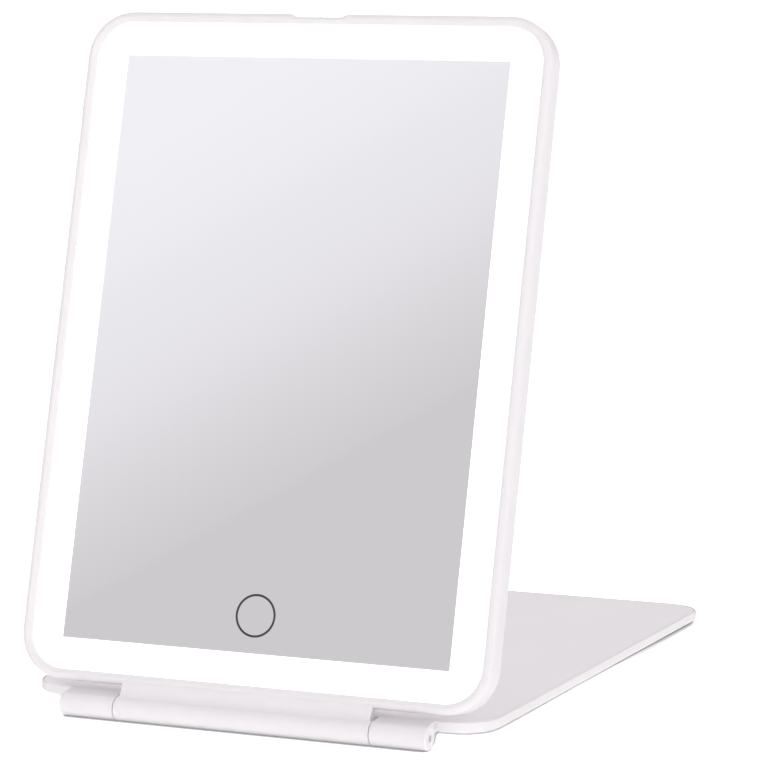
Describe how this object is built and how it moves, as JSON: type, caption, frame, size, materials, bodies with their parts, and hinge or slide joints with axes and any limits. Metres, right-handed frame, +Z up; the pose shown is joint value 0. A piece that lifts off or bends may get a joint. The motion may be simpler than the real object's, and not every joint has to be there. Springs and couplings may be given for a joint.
{
  "type": "folding lighted makeup mirror",
  "caption": "Folding tablet-shaped makeup mirror with a glowing light band round the glass, a touch mark and a barrel-hinged cover that swings behind as its stand.",
  "frame": {"origin": "on the table, in the middle of the open mirror's footprint", "axes": "+Z up, +X to the right of someone who looks into the mirror, +Y back along the cover; the hinge axis is parallel to X near the front"},
  "size_m": [0.17, 0.2412, 0.2325],
  "materials": {
    "white_plastic": "satin moulded white",
    "opal_diffuser": "opal, lit from behind",
    "mirror_silver": "polished silvered glass",
    "mark_grey": "printed line",
    "copper_foil": "foil",
    "conductive_foam": "open foam",
    "reflector_white": "matte white",
    "flex_circuit": "white solder mask",
    "led_phosphor": "phosphor lens",
    "circuit_board": "solder mask",
    "component_black": "moulded",
    "plated_steel": "bright plated",
    "clear_pipe": "clear",
    "pouch_foil": "laminate foil",
    "adhesive_tape": "double-sided",
    "lead_insulation": "insulation",
    "plug_white": "moulded",
    "nickel": "nickel plated",
    "acetal": "self-lubricating",
    "lilac_skin": "fine matte, lilac grey",
    "soft_liner": "brushed microfibre",
    "silicone": "translucent silicone"
  },
  "bodies": {
    "stand_cover": {"cover_frame": "white_plastic", "cover_skin": "lilac_skin", "cover_liner": "soft_liner", "bumper_pads": "silicone", "cover_magnets": "nickel", "hinge_pin_right": "plated_steel", "hinge_pin_left": "plated_steel"},
    "mirror_panel": {"front_frame": "white_plastic", "rear_shell": "white_plastic", "light_diffuser": "opal_diffuser", "mirror_glass": "mirror_silver", "touch_ring": "mark_grey", "touch_electrode": "copper_foil", "touch_contact": "conductive_foam", "light_tray": "reflector_white", "led_flex": "flex_circuit", "led_chips": "led_phosphor", "control_board": "circuit_board", "board_parts": "component_black", "usb_tongue": "component_black", "usb_socket": "plated_steel", "charge_light": "clear_pipe", "battery_cell": "pouch_foil", "battery_tape": "adhesive_tape", "battery_leads": "lead_insulation", "battery_plug": "plug_white", "panel_magnets": "nickel", "friction_bush_left": "acetal", "friction_bush_right": "acetal"}
  },
  "joints": [
    {"name": "panel_hinge", "type": "hinge", "parent": "stand_cover", "child": "mirror_panel", "pos_m": [0, -0.11657, 0.004], "axis": [1, 0, 0], "range_deg": [-4.5, 284.34]}
  ]
}
